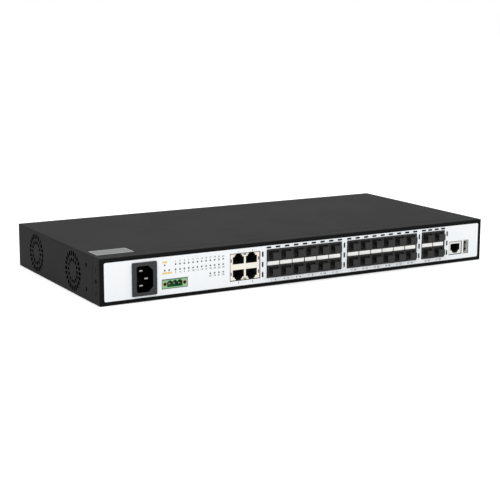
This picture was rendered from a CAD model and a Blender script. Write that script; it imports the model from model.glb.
import math

import bmesh
import bpy
from mathutils import Matrix, Vector


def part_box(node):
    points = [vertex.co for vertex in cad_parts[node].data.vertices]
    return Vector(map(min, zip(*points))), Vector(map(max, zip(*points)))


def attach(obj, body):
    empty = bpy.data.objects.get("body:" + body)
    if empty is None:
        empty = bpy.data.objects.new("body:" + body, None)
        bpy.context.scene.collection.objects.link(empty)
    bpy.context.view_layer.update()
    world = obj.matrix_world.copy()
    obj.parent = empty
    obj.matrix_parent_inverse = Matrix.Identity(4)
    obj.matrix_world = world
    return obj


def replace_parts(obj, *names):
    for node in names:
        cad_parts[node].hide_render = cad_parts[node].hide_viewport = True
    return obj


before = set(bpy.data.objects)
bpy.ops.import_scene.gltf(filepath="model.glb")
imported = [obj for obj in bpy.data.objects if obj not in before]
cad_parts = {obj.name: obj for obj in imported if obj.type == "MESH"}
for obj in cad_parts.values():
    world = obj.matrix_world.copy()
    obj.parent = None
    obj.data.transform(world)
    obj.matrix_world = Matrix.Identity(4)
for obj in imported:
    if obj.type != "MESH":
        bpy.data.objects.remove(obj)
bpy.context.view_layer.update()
scene = bpy.context.scene
mm = 0.001
caseBody = "case"
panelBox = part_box("front_panel")
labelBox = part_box("front_label")
panelLeft = panelBox[0].x
labelFace = labelBox[0].y
print("frame loaded:", len(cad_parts), "nodes")


def addNode(tree, kind, inputs=None, **settings):
    # a new node with its settings, and inputs that are each a value or another node's output
    node = tree.nodes.new(kind)
    for key, value in settings.items():
        setattr(node, key, value)
    for key, value in (inputs or {}).items():
        if isinstance(value, bpy.types.NodeSocket):
            tree.links.new(value, node.inputs[key])
        else:
            node.inputs[key].default_value = value
    return node


def mathNode(tree, operation, first, second=0.0, third=0.0):
    return addNode(tree, "ShaderNodeMath", {0: first, 1: second, 2: third}, operation=operation).outputs[0]


def rangeNode(tree, value, fromLow, fromHigh, toLow, toHigh):
    # a smooth step from one level to another
    inputs = {"Value": value, "From Min": fromLow, "From Max": fromHigh, "To Min": toLow, "To Max": toHigh}
    return addNode(tree, "ShaderNodeMapRange", inputs, interpolation_type="SMOOTHSTEP").outputs["Result"]


def mixColor(tree, factor, first, second):
    node = addNode(tree, "ShaderNodeMix", data_type="RGBA", blend_type="MIX", clamp_factor=True)
    sockets = [s for s in node.inputs if s.enabled]
    for socket, value in zip(sockets, (factor, first, second)):
        if isinstance(value, bpy.types.NodeSocket):
            tree.links.new(value, socket)
        else:
            socket.default_value = value
    return [s for s in node.outputs if s.enabled][0]


def newGroup(name, inputs, outputs):
    group = bpy.data.node_groups.new(name, "ShaderNodeTree")
    for label, kind, value in inputs:
        socket = group.interface.new_socket(label, in_out="INPUT", socket_type=kind)
        if value is not None:
            socket.default_value = value
    for label, kind in outputs:
        group.interface.new_socket(label, in_out="OUTPUT", socket_type=kind)
    return group, group.nodes.new("NodeGroupInput"), group.nodes.new("NodeGroupOutput")


def useGroup(tree, group, inputs):
    return addNode(tree, "ShaderNodeGroup", inputs, node_tree=group)


grainNoise = dict(detail=3.0, rough=0.6, swellScale=0.18, swellDetail=2.0)


def buildGrain():
    # fine bumps of a coat or a moulding, with a slower swell under them
    group, inside, outside = newGroup(
        "surfaceGrain",
        [("Vector", "NodeSocketVector", None), ("Scale", "NodeSocketFloat", 1500.0),
         ("Swell", "NodeSocketFloat", 0.4)],
        [("Height", "NodeSocketFloat"), ("Tone", "NodeSocketFloat")])
    fine = addNode(group, "ShaderNodeTexNoise",
                   {"Vector": inside.outputs["Vector"], "Scale": inside.outputs["Scale"],
                    "Detail": grainNoise["detail"], "Roughness": grainNoise["rough"]})
    slowScale = mathNode(group, "MULTIPLY", inside.outputs["Scale"], grainNoise["swellScale"])
    slow = addNode(group, "ShaderNodeTexNoise",
                   {"Vector": inside.outputs["Vector"], "Scale": slowScale,
                    "Detail": grainNoise["swellDetail"]})
    swell = mathNode(group, "MULTIPLY", slow.outputs["Fac"], inside.outputs["Swell"])
    group.links.new(mathNode(group, "ADD", fine.outputs["Fac"], swell), outside.inputs["Height"])
    group.links.new(fine.outputs["Fac"], outside.inputs["Tone"])
    return group


# where in the noise the patches and the specks fade in and are full
handlingNoise = dict(detail=4.0, rough=0.55, distortion=0.6, patches=(0.38, 0.66), speckDetail=1.0,
                     specks=(0.66, 0.74))


def buildHandling():
    # masks of the soft patches left by hands and cloths, and of fine specks of dust
    group, inside, outside = newGroup(
        "handling",
        [("Vector", "NodeSocketVector", None), ("Patch Scale", "NodeSocketFloat", 18.0),
         ("Speck Scale", "NodeSocketFloat", 700.0)],
        [("Patches", "NodeSocketFloat"), ("Specks", "NodeSocketFloat")])
    patch = addNode(group, "ShaderNodeTexNoise",
                    {"Vector": inside.outputs["Vector"], "Scale": inside.outputs["Patch Scale"],
                     "Detail": handlingNoise["detail"], "Roughness": handlingNoise["rough"],
                     "Distortion": handlingNoise["distortion"]})
    group.links.new(rangeNode(group, patch.outputs["Fac"], *handlingNoise["patches"], 0.0, 1.0),
                    outside.inputs["Patches"])
    specks = addNode(group, "ShaderNodeTexNoise",
                     {"Vector": inside.outputs["Vector"], "Scale": inside.outputs["Speck Scale"],
                      "Detail": handlingNoise["speckDetail"]})
    group.links.new(rangeNode(group, specks.outputs["Fac"], *handlingNoise["specks"], 0.0, 1.0),
                    outside.inputs["Specks"])
    return group


wearNoise = dict(scale=260.0, detail=4.0, levels=(0.42, 0.75), reach=1.6)


def buildEdgeWear():
    # mask of the edges of the box of that centre and half size, broken up by noise
    group, inside, outside = newGroup(
        "boxEdgeWear",
        [("Vector", "NodeSocketVector", None), ("Centre", "NodeSocketVector", None),
         ("Half Size", "NodeSocketVector", None), ("Width", "NodeSocketFloat", 0.0006)],
        [("Mask", "NodeSocketFloat")])
    moved = addNode(group, "ShaderNodeVectorMath",
                    {0: inside.outputs["Vector"], 1: inside.outputs["Centre"]}, operation="SUBTRACT")
    folded = addNode(group, "ShaderNodeVectorMath", {0: moved.outputs[0]}, operation="ABSOLUTE")
    depth = addNode(group, "ShaderNodeVectorMath", {0: inside.outputs["Half Size"], 1: folded.outputs[0]},
                    operation="SUBTRACT")
    parts = addNode(group, "ShaderNodeSeparateXYZ", {0: depth.outputs[0]})
    near = mathNode(group, "MINIMUM", parts.outputs[0], parts.outputs[1])
    far = mathNode(group, "MAXIMUM", parts.outputs[0], parts.outputs[1])
    second = mathNode(group, "MAXIMUM", near, mathNode(group, "MINIMUM", far, parts.outputs[2]))
    breakup = addNode(group, "ShaderNodeTexNoise",
                      {"Vector": inside.outputs["Vector"], "Scale": wearNoise["scale"],
                       "Detail": wearNoise["detail"]})
    reach = mathNode(group, "MULTIPLY", inside.outputs["Width"],
                     rangeNode(group, breakup.outputs["Fac"], *wearNoise["levels"], 0.0, wearNoise["reach"]))
    edge = mathNode(group, "LESS_THAN", second, reach)
    group.links.new(edge, outside.inputs["Mask"])
    return group


grainGroup = buildGrain()
handlingGroup = buildHandling()
edgeWearGroup = buildEdgeWear()


def newMaterial(name):
    material = bpy.data.materials.new(name)
    material.use_nodes = True
    tree = material.node_tree
    shader = tree.nodes["Principled BSDF"]
    place = addNode(tree, "ShaderNodeTexCoord").outputs["Object"]
    return material, tree, shader, place


def rgba(color):
    return (color[0], color[1], color[2], 1.0)


def insideSpan(tree, value, low, high):
    # 1 where the value lies between low and high
    above = mathNode(tree, "GREATER_THAN", value, low)
    return mathNode(tree, "MULTIPLY", above, mathNode(tree, "LESS_THAN", value, high))


def paintZones(tree, place, base, zones):
    # each zone gives an axis, where it starts and ends along it, and the colour between them
    parts = addNode(tree, "ShaderNodeSeparateXYZ", {0: place})
    for axis, low, high, color in zones:
        base = mixColor(tree, insideSpan(tree, parts.outputs[axis], low, high), base, rgba(color))
    return base


everywhere = 9.0                                # metres, past the end of the part
ratingScale = dict(x=0.925, y=0.93, shift=0.4)  # the rating label against its solid, and its move in mm


def ratingEdges():
    # the rating label's corners on the cover, once it is trimmed
    low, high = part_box("rating_label")
    middle = (low + high) / 2
    half = Vector(((high.x - low.x) * ratingScale["x"], (high.y - low.y) * ratingScale["y"], 0.0)) / 2
    shift = Vector((ratingScale["shift"] * mm, 0.0, 0.0))
    return middle - half + shift, middle + half + shift


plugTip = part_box("dust_plug_01")[0].y
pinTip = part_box("inlet_pins")[0].y
headerMiddle = (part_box("header_body")[0].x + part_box("header_body")[1].x) / 2
consoleSide = panelBox[0].x + 0.39  # left of the console jack and right of the block of four
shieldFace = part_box("jack_shields")[0].y


def setBump(tree, shader, height, depth):
    bump = addNode(tree, "ShaderNodeBump", {"Height": height, "Distance": depth, "Strength": 1.0})
    tree.links.new(bump.outputs["Normal"], shader.inputs["Normal"])


def handlingMasks(tree, place, values):
    return useGroup(tree, handlingGroup,
                    {"Vector": place, "Patch Scale": values["patches"], "Speck Scale": values["specks"]})


def addDust(tree, hands, base, values):
    dust = mathNode(tree, "MULTIPLY", hands.outputs["Specks"], values["dust"])
    return mixColor(tree, dust, base, rgba(values["dustColor"]))


def setRough(tree, shader, hands, levels):
    # from clean to handled
    tree.links.new(rangeNode(tree, hands.outputs["Patches"], 0.0, 1.0, *levels), shader.inputs["Roughness"])


# colour, second tone of the patches, roughness from clean to handled, strength of the shine,
# scale and depth of the grain, clear coat, and zones of another colour
mouldings = {
    "blackMoulding": dict(color=(0.0080, 0.0080, 0.0085), tone=(0.0120, 0.0120, 0.0125), rough=(0.42, 0.52),
                          shine=0.25, grain=2600, depth=0.00002, coat=0.0),
    "plugRubber": dict(color=(0.0230, 0.0230, 0.0235), tone=(0.0270, 0.0268, 0.0266), rough=(0.50, 0.60),
                       shine=0.20, grain=2300, depth=0.00003, coat=0.0,
                       zones=[("Y", plugTip + 0.5 * mm, plugTip + 6.1 * mm, (0.0040, 0.0040, 0.0040)),
                              ("Y", plugTip + 6.1 * mm, plugTip + 6.55 * mm, (0.0340, 0.0338, 0.0335)),
                              ("Y", plugTip + 6.55 * mm, plugTip + 8.2 * mm, (0.0080, 0.0080, 0.0080))]),
    "chipMoulding": dict(color=(0.0140, 0.0140, 0.0150), tone=(0.0220, 0.0220, 0.0230), rough=(0.50, 0.65),
                         shine=0.40, grain=3500, depth=0.00001, coat=0.0),
    "wireSleeve": dict(color=(0.300, 0.012, 0.010), tone=(0.240, 0.010, 0.010), rough=(0.30, 0.42),
                       shine=0.5, grain=900, depth=0.00002, coat=0.2),
    "canSleeve": dict(color=(0.012, 0.026, 0.085), tone=(0.010, 0.020, 0.070), rough=(0.16, 0.30),
                      shine=0.5, grain=700, depth=0.00001, coat=0.5),
    "greyPrint": dict(color=(0.022, 0.024, 0.028), tone=(0.030, 0.032, 0.036), rough=(0.45, 0.55),
                      shine=0.3, grain=4000, depth=0.000003, coat=0.0),
    "orangePrint": dict(color=(0.800, 0.520, 0.080), tone=(0.820, 0.550, 0.100), rough=(0.42, 0.52),
                        shine=0.3, grain=4000, depth=0.000003, coat=0.0),
    "ledWindow": dict(color=(0.050, 0.055, 0.062), tone=(0.080, 0.085, 0.092), rough=(0.12, 0.22),
                      shine=0.3, grain=1200, depth=0.000004, coat=0.0),
    "laminate": dict(color=(0.420, 0.250, 0.090), tone=(0.360, 0.210, 0.075), rough=(0.45, 0.60),
                     shine=0.5, grain=1200, depth=0.00002, coat=0.0),
}


mouldingWear = dict(swell=0.5, patches=60.0, specks=1600.0, dust=0.10, dustColor=(0.30, 0.30, 0.29))


def makeMoulding(name, values):
    material, tree, shader, place = newMaterial(name)
    grain = useGroup(tree, grainGroup,
                     {"Vector": place, "Scale": values["grain"], "Swell": mouldingWear["swell"]})
    hands = handlingMasks(tree, place, mouldingWear)
    base = mixColor(tree, hands.outputs["Patches"], rgba(values["color"]), rgba(values["tone"]))
    base = addDust(tree, hands, base, mouldingWear)
    base = paintZones(tree, place, base, values.get("zones", []))
    tree.links.new(base, shader.inputs["Base Color"])
    setRough(tree, shader, hands, values["rough"])
    shader.inputs["Specular IOR Level"].default_value = values["shine"]
    shader.inputs["Coat Weight"].default_value = values["coat"]
    setBump(tree, shader, grain.outputs["Height"], values["depth"])
    return material


# powder coats, worn along the case's edges
coats = {
    "coverCoat": dict(color=(0.0115, 0.0115, 0.0118), tone=(0.0122, 0.0122, 0.0125), rough=(0.60, 0.63),
                      shine=0.055),
    "panelCoat": dict(color=(0.0115, 0.0115, 0.0118), tone=(0.0122, 0.0122, 0.0125), rough=(0.60, 0.63),
                      shine=0.055),
    "screwCoat": dict(color=(0.0070, 0.0070, 0.0074), tone=(0.0095, 0.0095, 0.0098), rough=(0.55, 0.60),
                      shine=0.05),
}
coatWear = dict(grain=1700.0, swell=0.9, bump=0.00005, patches=9.0, specks=900.0, dust=0.05,
                dustColor=(0.16, 0.16, 0.155), edge=0.20, edgeWidth=0.0003, edgeColor=(0.060, 0.060, 0.058))
# the front face is darker than the rest, and the walls of the cut-outs and grilles are darker still, from
# and to these depths in mm behind the face; reach is the radius of a grille
coatFace = dict(color=(0.0052, 0.0054, 0.0056), turn=(0.1, 0.4))
coatCuts = dict(color=(0.0020, 0.0020, 0.0020), panel=(-0.05, 3), wall=(0.05, 6), reach=20.5)


def fanHubs():
    boxes = [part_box(rotor) for rotor in ("front_fan_rotor", "rear_fan_rotor")]
    return [(low + high) / 2 for low, high in boxes]


def edgeWear(tree, place, base):
    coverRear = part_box("top_cover")[1].y
    half = Vector((panelBox[1].x, (coverRear - panelBox[0].y) / 2, panelBox[1].z / 2))
    centre = Vector((0.0, (coverRear + panelBox[0].y) / 2, panelBox[1].z / 2))
    wear = useGroup(tree, edgeWearGroup,
                    {"Vector": place, "Centre": centre, "Half Size": half, "Width": coatWear["edgeWidth"]})
    return mixColor(tree, mathNode(tree, "MULTIPLY", wear.outputs["Mask"], coatWear["edge"]), base,
                    rgba(coatWear["edgeColor"]))


def darkenCuts(tree, place, base):
    parts = addNode(tree, "ShaderNodeSeparateXYZ", {0: place})
    face = panelBox[0].y
    start, end = coatFace["turn"]
    behind = rangeNode(tree, parts.outputs["Y"], face + start * mm, face + end * mm, 0.0, 1.0)
    base = mixColor(tree, behind, rgba(coatFace["color"]), base)
    inLabel = mathNode(tree, "MULTIPLY", insideSpan(tree, parts.outputs["X"], labelBox[0].x, labelBox[1].x),
                       insideSpan(tree, parts.outputs["Z"], labelBox[0].z, labelBox[1].z))
    start, end = coatCuts["panel"]
    inCut = mathNode(tree, "MULTIPLY", inLabel,
                     insideSpan(tree, parts.outputs["Y"], face + start * mm, face + end * mm))
    base = mixColor(tree, inCut, base, rgba(coatCuts["color"]))
    start, end = coatCuts["wall"]
    inWall = insideSpan(tree, parts.outputs["X"], panelLeft + start * mm, panelLeft + end * mm)
    flat = addNode(tree, "ShaderNodeVectorMath", {0: place, 1: Vector((0.0, 1.0, 1.0))},
                   operation="MULTIPLY")
    for hub in fanHubs():
        gap = addNode(tree, "ShaderNodeVectorMath", {0: flat.outputs[0], 1: Vector((0.0, hub.y, hub.z))},
                      operation="DISTANCE")
        near = mathNode(tree, "LESS_THAN", gap.outputs["Value"], coatCuts["reach"] * mm)
        base = mixColor(tree, mathNode(tree, "MULTIPLY", inWall, near), base, rgba(coatCuts["color"]))
    return base


def makeCoat(name, values):
    material, tree, shader, place = newMaterial(name)
    grain = useGroup(tree, grainGroup,
                     {"Vector": place, "Scale": coatWear["grain"], "Swell": coatWear["swell"]})
    hands = handlingMasks(tree, place, coatWear)
    base = mixColor(tree, hands.outputs["Patches"], rgba(values["color"]), rgba(values["tone"]))
    base = addDust(tree, hands, base, coatWear)
    base = edgeWear(tree, place, base)
    base = darkenCuts(tree, place, base)
    tree.links.new(base, shader.inputs["Base Color"])
    shader.inputs["Specular IOR Level"].default_value = values["shine"]
    setRough(tree, shader, hands, values["rough"])
    setBump(tree, shader, grain.outputs["Height"], coatWear["bump"])
    return material


# rolled or drawn metals: the grain is long along the axis whose stretch is small, dull is the colour's share
# in the grain's lines, rim is how dark the border of a jack shield is, and zones have another colour
metals = {
    "tinnedSheet": dict(color=(0.62, 0.61, 0.58), rough=(0.26, 0.40), stretch=(900, 60, 900), depth=0.000004,
                        dull=0.86),
    "brightSheet": dict(color=(0.68, 0.675, 0.665), rough=(0.30, 0.36), stretch=(50, 900, 1500),
                        depth=0.000002, dull=0.97),
    "nickelSheet": dict(color=(0.715, 0.672, 0.608), rough=(0.28, 0.38), stretch=(60, 900, 1100),
                        depth=0.000003, dull=0.96, rim=0.5,
                        zones=[("X", consoleSide, everywhere, (0.620, 0.616, 0.596)),
                               ("Y", shieldFace + 0.25 * mm, shieldFace + 1.5 * mm, (0.05, 0.05, 0.048))]),
    "usbNickel": dict(color=(0.880, 0.875, 0.850), rough=(0.30, 0.40), stretch=(60, 900, 1100),
                      depth=0.000003, dull=0.96, metallic=0.25),
    "contactGold": dict(color=(0.34, 0.23, 0.085), rough=(0.22, 0.30), stretch=(800, 80, 800),
                        depth=0.000002, dull=0.90),
    "pinMetal": dict(color=(0.38, 0.38, 0.37), rough=(0.24, 0.34), stretch=(900, 60, 900), depth=0.000002,
                     dull=0.85,
                     zones=[("Y", pinTip + 0.1 * mm, pinTip + 2.4 * mm, (0.05, 0.05, 0.05)),
                            ("Y", pinTip + 2.6 * mm, everywhere, (0.05, 0.05, 0.05))]),
    "insertBrass": dict(color=(0.300, 0.170, 0.062), rough=(0.40, 0.52), stretch=(500, 500, 500),
                        depth=0.00001, dull=0.80,
                        zones=[("X", headerMiddle - 8 * mm, headerMiddle + 8 * mm, (0.42, 0.44, 0.38))]),
    "finnedAluminium": dict(color=(0.62, 0.63, 0.64), rough=(0.34, 0.46), stretch=(1200, 40, 1200),
                            depth=0.00001, dull=0.88),
}


shieldBorder = dict(left=0.45, right=0.3, bottom=0.3, top=0.45, margin=1.0)


def shieldRim(tree, place):
    # 1 along the outer border of each jack shield's face, where the sheet turns back into the panel
    margin = shieldBorder["margin"] * mm
    parts = addNode(tree, "ShaderNodeSeparateXYZ", {0: place})
    total = None
    for inside in (lambda v: v.co.x < consoleSide, lambda v: v.co.x > consoleSide):
        points = [v.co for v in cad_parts["jack_shields"].data.vertices if inside(v)]
        low = Vector((min(p.x for p in points), 0, min(p.z for p in points)))
        high = Vector((max(p.x for p in points), 0, max(p.z for p in points)))
        whole = mathNode(tree, "MULTIPLY",
                         insideSpan(tree, parts.outputs["X"], low.x - margin, high.x + margin),
                         insideSpan(tree, parts.outputs["Z"], low.z - margin, high.z + margin))
        inX = insideSpan(tree, parts.outputs["X"], low.x + shieldBorder["left"] * mm,
                         high.x - shieldBorder["right"] * mm)
        inZ = insideSpan(tree, parts.outputs["Z"], low.z + shieldBorder["bottom"] * mm,
                         high.z - shieldBorder["top"] * mm)
        core = mathNode(tree, "MULTIPLY", inX, inZ)
        rim = mathNode(tree, "SUBTRACT", whole, core)
        total = rim if total is None else mathNode(tree, "ADD", total, rim)
    return total


# lines is the noise along the grain, handled how dull the patches are, and levels the span of the lines and
# patches together that goes from smooth to rough
metalWear = dict(detail=4.0, lines=0.6, patches=90.0, specks=1500.0, handled=0.25, share=0.5,
                 levels=(0.15, 0.85), rimColor=(0.02, 0.02, 0.02))


def makeMetal(name, values):
    material, tree, shader, place = newMaterial(name)
    stretched = addNode(tree, "ShaderNodeMapping", {"Vector": place, "Scale": Vector(values["stretch"])})
    lines = addNode(tree, "ShaderNodeTexNoise",
                    {"Vector": stretched.outputs[0], "Scale": 1.0, "Detail": metalWear["detail"],
                     "Roughness": metalWear["lines"]})
    hands = handlingMasks(tree, place, metalWear)
    dull = rgba([c * values["dull"] for c in values["color"]])
    base = mixColor(tree, lines.outputs["Fac"], rgba(values["color"]), dull)
    handled = mathNode(tree, "MULTIPLY", hands.outputs["Patches"], metalWear["handled"])
    base = mixColor(tree, handled, base, dull)
    base = paintZones(tree, place, base, values.get("zones", []))
    if "rim" in values:
        base = mixColor(tree, mathNode(tree, "MULTIPLY", shieldRim(tree, place), values["rim"]), base,
                        rgba(metalWear["rimColor"]))
    tree.links.new(base, shader.inputs["Base Color"])
    shader.inputs["Metallic"].default_value = values.get("metallic", 1.0)
    half = mathNode(tree, "MULTIPLY", lines.outputs["Fac"], metalWear["share"])
    mixed = mathNode(tree, "MULTIPLY_ADD", hands.outputs["Patches"], metalWear["share"], half)
    tree.links.new(rangeNode(tree, mixed, *metalWear["levels"], *values["rough"]),
                   shader.inputs["Roughness"])
    setBump(tree, shader, lines.outputs["Fac"], values["depth"])
    return material


# the labels: cut is how dark their cut edges are, and border the width in mm of the rating label's pale edge
films = {
    "labelFilm": dict(color=(0.875, 0.895, 0.912), tone=(0.868, 0.888, 0.905), rough=(0.40, 0.46),
                      shine=0.30, depth=0.000006, cut=1.0),
    "ratingFilm": dict(color=(0.172, 0.174, 0.176), tone=(0.166, 0.168, 0.170), rough=(0.42, 0.48),
                       shine=0.15, depth=0.000006, cut=0.0, border=1.1, borderColor=(0.36, 0.362, 0.365)),
}


filmWear = dict(grain=3200.0, swell=0.3, patches=14.0, specks=1300.0, dust=0.05,
                dustColor=(0.45, 0.45, 0.44), cutDepth=0.05, cutColor=(0.02, 0.02, 0.02))


def makeFilm(name, values):
    material, tree, shader, place = newMaterial(name)
    grain = useGroup(tree, grainGroup,
                     {"Vector": place, "Scale": filmWear["grain"], "Swell": filmWear["swell"]})
    hands = handlingMasks(tree, place, filmWear)
    base = mixColor(tree, hands.outputs["Patches"], rgba(values["color"]), rgba(values["tone"]))
    base = addDust(tree, hands, base, filmWear)
    parts = addNode(tree, "ShaderNodeSeparateXYZ", {0: place})
    behind = mathNode(tree, "GREATER_THAN", parts.outputs["Y"], labelFace + filmWear["cutDepth"] * mm)
    cut = mathNode(tree, "MULTIPLY", behind, values["cut"])
    base = mixColor(tree, cut, base, rgba(filmWear["cutColor"]))
    if "border" in values:
        low, high = ratingEdges()
        border = values["border"] * mm
        inner = mathNode(tree, "MULTIPLY",
                         insideSpan(tree, parts.outputs["X"], low.x + border, high.x - border),
                         insideSpan(tree, parts.outputs["Y"], low.y + border, high.y - border))
        base = mixColor(tree, inner, rgba(values["borderColor"]), base)
    tree.links.new(base, shader.inputs["Base Color"])
    shader.inputs["Specular IOR Level"].default_value = values["shine"]
    setRough(tree, shader, hands, values["rough"])
    setBump(tree, shader, grain.outputs["Height"], values["depth"])
    return material


# the bezel is wallX and wallZ wide and turns black between start and end behind its face, all in mm
inletGrey = dict(bezel=(0.0430, 0.0445, 0.0465), recess=(0.0012, 0.0012, 0.0012), rough=0.48,
                 recessRough=0.34, shine=0.08, wallX=3.0, wallZ=2.4, start=0.25, end=0.5, grain=2900.0,
                 swell=0.5, mottle=0.10, bump=0.00001)


def makeInletGrey(values):
    # grey on the bezel and polished black inside the recess
    material, tree, shader, place = newMaterial("inletGrey")
    parts = addNode(tree, "ShaderNodeSeparateXYZ", {0: place})
    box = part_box("inlet_body")
    face = box[0].y
    start = face + values["start"] * mm
    end = face + values["end"] * mm
    deep = rangeNode(tree, parts.outputs["Y"], start, end, 0.0, 1.0)
    wallX = values["wallX"] * mm
    wallZ = values["wallZ"] * mm
    inX = insideSpan(tree, parts.outputs["X"], box[0].x + wallX, box[1].x - wallX)
    inZ = insideSpan(tree, parts.outputs["Z"], box[0].z + wallZ, box[1].z - wallZ)
    black = mathNode(tree, "MULTIPLY", deep, mathNode(tree, "MULTIPLY", inX, inZ))
    grain = useGroup(tree, grainGroup, {"Vector": place, "Scale": values["grain"], "Swell": values["swell"]})
    base = mixColor(tree, black, rgba(values["bezel"]), rgba(values["recess"]))
    tree.links.new(base, shader.inputs["Base Color"])
    mottle = values["mottle"]
    rough = mathNode(tree, "MULTIPLY_ADD", grain.outputs["Tone"], mottle, values["rough"] - mottle / 2)
    smoother = mathNode(tree, "MULTIPLY", black, values["rough"] - values["recessRough"])
    tree.links.new(mathNode(tree, "SUBTRACT", rough, smoother), shader.inputs["Roughness"])
    shader.inputs["Specular IOR Level"].default_value = values["shine"]
    setBump(tree, shader, grain.outputs["Height"], values["bump"])
    return material


# front turns into inside over turn behind the face, and rim is the colour of the top edge, both in mm
headerGreen = dict(front=(0.255, 0.480, 0.260), inside=(0.024, 0.230, 0.055), rim=(0.060, 0.200, 0.080),
                   mottle=(0.30, 0.58, 0.32), rough=(0.27, 0.39), turn=(0.1, 0.8), rimWidth=0.6, rimFade=0.2,
                   rimShare=0.8, mottleShare=0.10, tones=(0.3, 0.7), grain=2200.0, swell=0.6, coat=0.2,
                   bump=0.00001)


def makeHeaderGreen(values):
    # pale on the mouth's rim, deep green where the light has gone through more plastic
    material, tree, shader, place = newMaterial("headerGreen")
    parts = addNode(tree, "ShaderNodeSeparateXYZ", {0: place})
    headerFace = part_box("header_body")[0].y
    start, end = values["turn"]
    deep = rangeNode(tree, parts.outputs["Y"], headerFace + start * mm, headerFace + end * mm, 0.0, 1.0)
    grain = useGroup(tree, grainGroup, {"Vector": place, "Scale": values["grain"], "Swell": values["swell"]})
    base = mixColor(tree, deep, rgba(values["front"]), rgba(values["inside"]))
    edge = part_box("header_body")[1].z - values["rimWidth"] * mm
    rim = rangeNode(tree, parts.outputs["Z"], edge - values["rimFade"] * mm, edge, 0.0, values["rimShare"])
    base = mixColor(tree, rim, base, rgba(values["rim"]))
    base = mixColor(tree, mathNode(tree, "MULTIPLY", grain.outputs["Tone"], values["mottleShare"]), base,
                    rgba(values["mottle"]))
    tree.links.new(base, shader.inputs["Base Color"])
    tree.links.new(rangeNode(tree, grain.outputs["Tone"], *values["tones"], *values["rough"]),
                   shader.inputs["Roughness"])
    shader.inputs["Coat Weight"].default_value = values["coat"]
    setBump(tree, shader, grain.outputs["Height"], values["bump"])
    return material


# traces is how many cells the maze has in a metre, and edge where in a cell the copper fades out
boardMask = dict(mask=(0.012, 0.095, 0.038), copper=(0.030, 0.170, 0.060), traces=420.0, edge=(0.04, 0.10),
                 patches=40.0, specks=900.0, rough=(0.22, 0.36), coat=0.3, bump=0.00003)


def makeBoard(values):
    # solder mask over a maze of traces
    material, tree, shader, place = newMaterial("boardMask")
    cells = addNode(tree, "ShaderNodeTexVoronoi", {"Vector": place, "Scale": values["traces"]},
                    distance="CHEBYCHEV", feature="DISTANCE_TO_EDGE")
    trace = rangeNode(tree, cells.outputs["Distance"], *values["edge"], 1.0, 0.0)
    hands = handlingMasks(tree, place, values)
    base = mixColor(tree, trace, rgba(values["mask"]), rgba(values["copper"]))
    tree.links.new(base, shader.inputs["Base Color"])
    setRough(tree, shader, hands, values["rough"])
    shader.inputs["Coat Weight"].default_value = values["coat"]
    setBump(tree, shader, trace, values["bump"])
    return material


# turns is in radians a metre, and coreTop is in mm from the top
windingTape = dict(tape=(0.560, 0.420, 0.070), core=(0.060, 0.058, 0.055), turns=3120.0, coreTop=3.0,
                   worn=0.3, patches=70.0, specks=900.0, rough=(0.28, 0.5), bump=0.00004)


def makeTape(values):
    # ferrite core with its winding taped over
    material, tree, shader, place = newMaterial("windingTape")
    parts = addNode(tree, "ShaderNodeSeparateXYZ", {0: place})
    stripes = mathNode(tree, "SINE", mathNode(tree, "MULTIPLY", parts.outputs["Z"], values["turns"]))
    hands = handlingMasks(tree, place, values)
    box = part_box("supply_transformer")
    core = mathNode(tree, "GREATER_THAN", parts.outputs["Z"], box[1].z - values["coreTop"] * mm)
    base = mixColor(tree, core, rgba(values["tape"]), rgba(values["core"]))
    base = mixColor(tree, mathNode(tree, "MULTIPLY", hands.outputs["Patches"], values["worn"]), base,
                    rgba(values["core"]))
    tree.links.new(base, shader.inputs["Base Color"])
    setRough(tree, shader, hands, values["rough"])
    setBump(tree, shader, stripes, values["bump"])
    return material


finish = {name: makeMoulding(name, values) for name, values in mouldings.items()}
finish.update({name: makeCoat(name, values) for name, values in coats.items()})
finish.update({name: makeMetal(name, values) for name, values in metals.items()})
finish.update({name: makeFilm(name, values) for name, values in films.items()})
finish["inletGrey"] = makeInletGrey(inletGrey)
finish["headerGreen"] = makeHeaderGreen(headerGreen)
finish["boardMask"] = makeBoard(boardMask)
finish["windingTape"] = makeTape(windingTape)
print("finishes made:", len(finish))


# points nearer than merge (mm) are joined, faces within flat (degrees) are one face, edges over bend are
# softened and edges over sharp stay sharp
meshWork = dict(merge=0.002, flat=0.6, bend=28, sharp=35, flatWeight=90)


def addPiece(name, bm, body, finishName):
    mesh = bpy.data.meshes.new(name)
    bm.to_mesh(mesh)
    bm.free()
    for polygon in mesh.polygons:
        polygon.use_smooth = True
    mesh.set_sharp_from_angle(angle=math.radians(meshWork["sharp"]))
    mesh.materials.append(finish[finishName])
    piece = bpy.data.objects.new(name, mesh)
    scene.collection.objects.link(piece)
    # flat faces look flat beside their round edges
    flatter = piece.modifiers.new("flatFaces", "WEIGHTED_NORMAL")
    flatter.mode = "FACE_AREA"
    flatter.weight = meshWork["flatWeight"]
    flatter.keep_sharp = True
    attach(piece, body)
    return piece


def mergedCopy(nodeName):
    bm = bmesh.new()
    bm.from_mesh(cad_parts[nodeName].data)
    bmesh.ops.remove_doubles(bm, verts=bm.verts, dist=meshWork["merge"] * mm)
    bmesh.ops.dissolve_limit(bm, angle_limit=math.radians(meshWork["flat"]), verts=bm.verts, edges=bm.edges)
    return bm


def softenEdges(bm, width, segments=2):
    bend = math.radians(meshWork["bend"])
    edges = [e for e in bm.edges if len(e.link_faces) == 2 and e.calc_face_angle(0.0) > bend]
    bmesh.ops.bevel(bm, geom=edges, offset=width, offset_type="OFFSET", segments=segments, profile=0.5,
                    affect="EDGES", clamp_overlap=True, material=-1)


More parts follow.
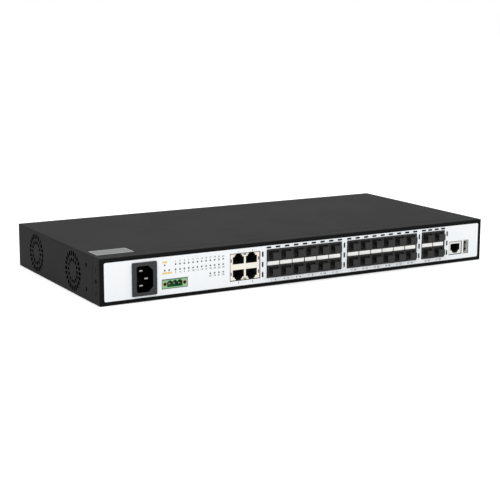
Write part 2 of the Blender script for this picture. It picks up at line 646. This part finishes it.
def takeIsland(faces):
    # takes one group of joined faces out of the set
    island = set()
    reached = [faces.pop()]
    while reached:
        face = reached.pop()
        island.add(face)
        for side in face.edges:
            for other in side.link_faces:
                if other in faces:
                    faces.discard(other)
                    reached.append(other)
    return island


def widenHoles(bm, through, cut, choose=None):
    # moves the walls of each hole along that axis outward, where the hole's two sizes are within cut's
    wallTilt = 0.1
    leastTurn = 0.2
    walls = {f for f in bm.faces if abs(getattr(f.normal, through)) < wallTilt}
    if choose:
        walls = {f for f in walls if choose(f)}
    moves = {}
    while walls:
        island = takeIsland(walls)
        points = {v for f in island for v in f.verts}
        low = Vector([min(v.co[axis] for v in points) for axis in range(3)])
        high = Vector([max(v.co[axis] for v in points) for axis in range(3)])
        spans = sorted((high - low)[axis] / mm for axis in range(3) if "xyz"[axis] != through)
        if not cut["shortest"] < spans[1] < cut["longest"] or spans[0] > cut["narrow"]:
            continue
        for v in points:
            normals = [f.normal for f in v.link_faces if f in island]
            total = sum(normals, Vector())
            moves[v] = total * -cut["widen"] * mm / max(total.dot(normals[0]), leastTurn)
    for v, move in moves.items():
        v.co += move


# node, new piece, finish, slot, width of the broken edge in mm
softened = [
    ("front_panel", "frontPanel", "panelCoat", "black_paint", 0.15),
    ("base_tray", "baseTray", "coverCoat", "black_cover", 0.15),
    ("top_cover", "topCover", "coverCoat", "black_cover", 0.15),
    ("inlet_body", "inletBody", "inletGrey", "grey_plastic", 0.3),
    ("inlet_pins", "inletPins", "pinMetal", "tinned_pin", 0.6),
    ("header_body", "headerBody", "headerGreen", "green_plastic", 0.12),
    ("header_inserts", "headerInserts", "insertBrass", "brass", 0.12),
    ("jack_shields", "jackShields", "nickelSheet", "nickel_sheet", 0.07),
    ("usb_shell", "usbShell", "usbNickel", "nickel_sheet", 0.1),
    ("cage_septum_plates", "septumPlates", "brightSheet", "bright_sheet", 0.1),
    ("screws", "caseScrews", "screwCoat", "black_steel", 0.1),
    ("wiring", "leads", "wireSleeve", "red_wire", 0.5),
]

# how far the slots' walls move, the sizes of the slots, and where in the left wall they are, in mm
grilleCut = dict(widen=0.4, longest=9.0, shortest=1.5, narrow=6.0, wall=3, reach=19.5)
hubs = fanHubs()


def inGrille(face):
    centre = face.calc_center_median()
    gap = min(math.hypot(centre.y - hub.y, centre.z - hub.z) for hub in hubs)
    return centre.x < panelLeft + grilleCut["wall"] * mm and gap < grilleCut["reach"] * mm


for nodeName, pieceName, finishName, slotName, width in softened:
    bm = mergedCopy(nodeName)
    if nodeName == "top_cover":
        widenHoles(bm, "x", grilleCut, inGrille)
    softenEdges(bm, width * mm)
    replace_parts(addPiece(pieceName, bm, caseBody, finishName), nodeName)
    print("piece:", pieceName)

# the label's windows over the vent slots: how far their walls move and their sizes, in mm
labelCut = dict(widen=0.16, longest=8.0, shortest=3.0, narrow=2.4)
bm = mergedCopy("front_label")
widenHoles(bm, "y", labelCut)
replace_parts(addPiece("frontLabel", bm, caseBody, "labelFilm"), "front_label")

bm = mergedCopy("rating_label")
low, high = ratingEdges()
middle = (low + high) / 2
oldMiddle = (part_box("rating_label")[0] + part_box("rating_label")[1]) / 2
bmesh.ops.scale(bm, vec=(ratingScale["x"], ratingScale["y"], 1.0), space=Matrix.Translation(-oldMiddle),
                verts=bm.verts)
bmesh.ops.translate(bm, vec=(middle.x - oldMiddle.x, 0.0, 0.0), verts=bm.verts)
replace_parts(addPiece("ratingLabel", bm, caseBody, "ratingFilm"), "rating_label")
print("labels made")

plugNumbers = range(1, 29)
plug = dict(edge=0.25, segments=3)
for number in plugNumbers:
    nodeName = "dust_plug_%02d" % number
    bm = mergedCopy(nodeName)
    softenEdges(bm, plug["edge"] * mm, plug["segments"])
    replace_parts(addPiece("dustPlug%02d" % number, bm, "plug_%02d" % number, "plugRubber"),
                nodeName)
print("dust plugs made")

# nodes that keep their solids' meshes
keptNodes = {
    "cage_shells": "tinnedSheet", "cage_dividers": "tinnedSheet", "cage_shelves": "tinnedSheet",
    "cage_connectors": "blackMoulding", "jack_inserts": "blackMoulding", "jack_contacts": "contactGold",
    "light_pipes": "ledWindow", "light_pipe_holder": "blackMoulding",
    "main_board": "boardMask", "board_chips": "chipMoulding", "heatsinks": "finnedAluminium",
    "supply_board": "laminate", "supply_transformer": "windingTape", "supply_capacitors": "canSleeve",
    "supply_heatsinks": "finnedAluminium", "fan_frames": "blackMoulding",
    "front_fan_rotor": "blackMoulding", "rear_fan_rotor": "blackMoulding",
}
for nodeName, finishName in keptNodes.items():
    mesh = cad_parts[nodeName].data
    mesh.materials.clear()
    mesh.materials.append(finish[finishName])


# lift and thick are in mm off the label, weight is how much bolder the digits are, the texts are digit
# heights, and the rises, drops and spread are from the lamps or the plugs
printing = dict(lift=0.02, thick=0.02, digitPitch=1.12, weight=0.018, curveSteps=3, lampText=2.3,
                portText=2.5, jackText=2.5, lampRise=2.85, lampDrop=2.65, lowLampDrop=2.35, portDrop=2.35,
                portSpread=2.1)
lampFace = dict(slack=0.001, wide=1.7, rowHeight=0.3)


def lampTips():
    # the centre of each light pipe's face on the label
    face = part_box("light_pipes")[0].y + lampFace["slack"] * mm
    points = [v.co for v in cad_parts["light_pipes"].data.vertices if v.co.y < face]
    tips = []
    for point in points:
        near = [tip for tip in tips if (tip[0] - point).length < lampFace["wide"] * mm]
        if near:
            near[0].append(point)
        else:
            tips.append([point])
    centres = []
    for tip in tips:
        xs = [p.x for p in tip]
        zs = [p.z for p in tip]
        centres.append(((min(xs) + max(xs)) / 2, (min(zs) + max(zs)) / 2))
    return sorted(centres)


def makeDigits():
    # each digit's mesh, for a text 1 m high
    digits = {}
    for digit in "0123456789":
        curve = bpy.data.curves.new("digit", "FONT")
        curve.body = digit
        curve.resolution_u = printing["curveSteps"]
        curve.offset = printing["weight"]
        holder = bpy.data.objects.new("digit", curve)
        scene.collection.objects.link(holder)
        digits[digit] = holder
    depsgraph = bpy.context.evaluated_depsgraph_get()
    meshes = {}
    for digit, holder in digits.items():
        meshes[digit] = bpy.data.meshes.new_from_object(holder.evaluated_get(depsgraph))
    for holder in digits.values():
        bpy.data.objects.remove(holder)
    return meshes


def widthOf(mesh):
    xs = [v.co.x for v in mesh.vertices]
    return max(xs) - min(xs)


digitMeshes = makeDigits()
digitPitch = max(widthOf(mesh) for mesh in digitMeshes.values()) * printing["digitPitch"]


def addText(bm, words, x, z, size):
    # the digits side by side at one pitch, centred on x and z
    depth = labelFace - printing["lift"] * mm
    for index, digit in enumerate(words):
        mesh = digitMeshes[digit].copy()
        xs = [v.co.x for v in mesh.vertices]
        zs = [v.co.y for v in mesh.vertices]
        shift = (index - (len(words) - 1) / 2) * digitPitch
        middle = Vector((-(min(xs) + max(xs)) / 2 + shift, -(min(zs) + max(zs)) / 2, 0.0))
        mesh.transform(Matrix.Translation((x, depth, z)) @ Matrix.Rotation(math.radians(90), 4, "X")
                       @ Matrix.Scale(size * mm, 4) @ Matrix.Translation(middle))
        bm.from_mesh(mesh)
        bpy.data.meshes.remove(mesh)


def addBar(bm, x, z, width, height):
    made = bmesh.ops.create_cube(bm, size=1.0)
    depth = labelFace - (printing["lift"] + printing["thick"] / 2) * mm
    bmesh.ops.scale(bm, vec=(width * mm, printing["thick"] * mm, height * mm), verts=made["verts"])
    bmesh.ops.translate(bm, vec=(x, depth, z), verts=made["verts"])


bm = bmesh.new()
tips = lampTips()
rows = sorted({round(z / mm, 1) for x, z in tips}, reverse=True)
statusEdge = panelLeft + 72 * mm  # the lamps left of here show the status and have no numbers
portTips = [(x, z) for x, z in tips if x > statusEdge]
# for each row of lamps, its first number, the step to the next one, and how far above the lamp it stands
lampRows = [(1, 2, printing["lampRise"]), (2, 2, -printing["lampDrop"]), (25, 1, -printing["lowLampDrop"])]
for row, (first, step, rise) in zip(rows, lampRows):
    inRow = sorted(x for x, z in portTips if abs(z / mm - row) < lampFace["rowHeight"])
    for index, x in enumerate(inRow):
        addText(bm, str(first + index * step), x, (row + rise) * mm, printing["lampText"])
for number in plugNumbers:
    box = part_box("dust_plug_%02d" % number)
    side = -1 if number % 2 else 1
    addText(bm, str(number), (box[0].x + box[1].x) / 2 + side * printing["portSpread"] * mm,
            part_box("dust_plug_02")[0].z - printing["portDrop"] * mm, printing["portText"])
addPiece("portNumbers", bm, caseBody, "greyPrint")

# one bar above the first row of status lamps and two below the second, in mm
statusBars = dict(middle=65.0, width=4.8, height=1.5, pitch=5.1, rise=2.8, drop=-2.55)
bm = bmesh.new()
for index, row, shift in ((0, rows[0], "rise"), (0, rows[1], "drop"), (1, rows[1], "drop")):
    addBar(bm, panelLeft + (statusBars["middle"] + index * statusBars["pitch"]) * mm,
           (row + statusBars[shift]) * mm, statusBars["width"], statusBars["height"])
addPiece("statusBars", bm, caseBody, "orangePrint")

jackPlaces = dict(left=143.2, pitch=15.2, high=37.3, low=7.1)
bm = bmesh.new()
for words, column, height in (("1", 0, "high"), ("3", 1, "high"), ("2", 0, "low"), ("4", 1, "low")):
    addText(bm, words, panelLeft + (jackPlaces["left"] + column * jackPlaces["pitch"]) * mm,
            jackPlaces[height] * mm, printing["jackText"])
addPiece("jackNumbers", bm, caseBody, "greyPrint")
print("label printed")


# sizes in metres, and the world's strength as a light and where it is seen
stageLook = dict(floorSize=12.0, floorDrop=0.0002, floorTone=0.86, floorRough=0.9, floorShine=0.1,
                 floorLift=0.42, worldLight=0.72, worldSeen=1.0)


def seenRays(tree):
    # 1 for the rays that show the background: the camera's, and those that glossy or clear things pass on
    rays = addNode(tree, "ShaderNodeLightPath")
    seen = mathNode(tree, "MAXIMUM", rays.outputs["Is Camera Ray"], rays.outputs["Is Glossy Ray"])
    return mathNode(tree, "MAXIMUM", seen, rays.outputs["Is Transmission Ray"])


def makeStage():
    bm = bmesh.new()
    bmesh.ops.create_grid(bm, x_segments=1, y_segments=1, size=stageLook["floorSize"] / 2)
    mesh = bpy.data.meshes.new("floor")
    bm.to_mesh(mesh)
    bm.free()
    material = bpy.data.materials.new("paleFloor")
    material.use_nodes = True
    tree = material.node_tree
    shader = tree.nodes["Principled BSDF"]
    shader.inputs["Base Color"].default_value = (stageLook["floorTone"],) * 3 + (1.0,)
    shader.inputs["Roughness"].default_value = stageLook["floorRough"]
    shader.inputs["Specular IOR Level"].default_value = stageLook["floorShine"]
    lift = mathNode(tree, "MULTIPLY", seenRays(tree), stageLook["floorLift"])
    tree.links.new(lift, shader.inputs["Emission Strength"])
    shader.inputs["Emission Color"].default_value = (1.0, 1.0, 1.0, 1.0)
    mesh.materials.append(material)
    floor = bpy.data.objects.new("floor", mesh)
    scene.collection.objects.link(floor)
    floor.location.z = -stageLook["floorDrop"]

    world = bpy.data.worlds.new("studio")
    world.use_nodes = True
    tree = world.node_tree
    sky = tree.nodes["Background"]
    sky.inputs["Color"].default_value = (1.0, 1.0, 1.0, 1.0)
    level = addNode(tree, "ShaderNodeMapRange",
                    {"Value": seenRays(tree), "To Min": stageLook["worldLight"],
                     "To Max": stageLook["worldSeen"]})
    tree.links.new(level.outputs["Result"], sky.inputs["Strength"])
    scene.world = world


# where each soft box stands, its size in metres and its power in watts; each points at the origin
softBoxes = {
    "keyBox": dict(place=(-0.9, -1.5, 1.5), size=1.4, power=14.0),
    "fillBox": dict(place=(1.5, -0.9, 0.9), size=1.4, power=5.0),
    "topBox": dict(place=(0.1, 0.6, 1.9), size=1.8, power=10.0),
}


def makeLights():
    for name, values in softBoxes.items():
        light = bpy.data.lights.new(name, "AREA")
        light.energy = values["power"]
        light.size = values["size"]
        lamp = bpy.data.objects.new(name, light)
        lamp.location = values["place"]
        lamp.rotation_euler = (-Vector(values["place"])).to_track_quat("-Z", "Y").to_euler()
        scene.collection.objects.link(lamp)


# angles in degrees, lens and sensor in mm, the rest in metres
viewpoint = dict(azimuth=-29.944, elevation=11.227, roll=0.191, distance=1.3194, lens=90.175, sensor=36.0,
                 near=0.05, far=60.0, aim=(-0.00381, 0.0, 0.01357))


def makeCamera():
    azimuth = math.radians(viewpoint["azimuth"])
    elevation = math.radians(viewpoint["elevation"])
    back = Vector((math.sin(azimuth) * math.cos(elevation), -math.cos(azimuth) * math.cos(elevation),
                   math.sin(elevation)))
    camera = bpy.data.objects.new("camera", bpy.data.cameras.new("camera"))
    camera.data.lens = viewpoint["lens"]
    camera.data.sensor_width = viewpoint["sensor"]
    camera.data.clip_start = viewpoint["near"]
    camera.data.clip_end = viewpoint["far"]
    camera.location = Vector(viewpoint["aim"]) + back * viewpoint["distance"]
    turn = (-back).to_track_quat("-Z", "Y").to_matrix().to_4x4()
    roll = Matrix.Rotation(math.radians(viewpoint["roll"]), 4, "Z")
    camera.rotation_euler = (turn @ roll).to_euler()
    scene.collection.objects.link(camera)
    scene.camera = camera


makeStage()
makeLights()
makeCamera()
scene.view_settings.view_transform = "Standard"
print("stage ready")

print("size written")
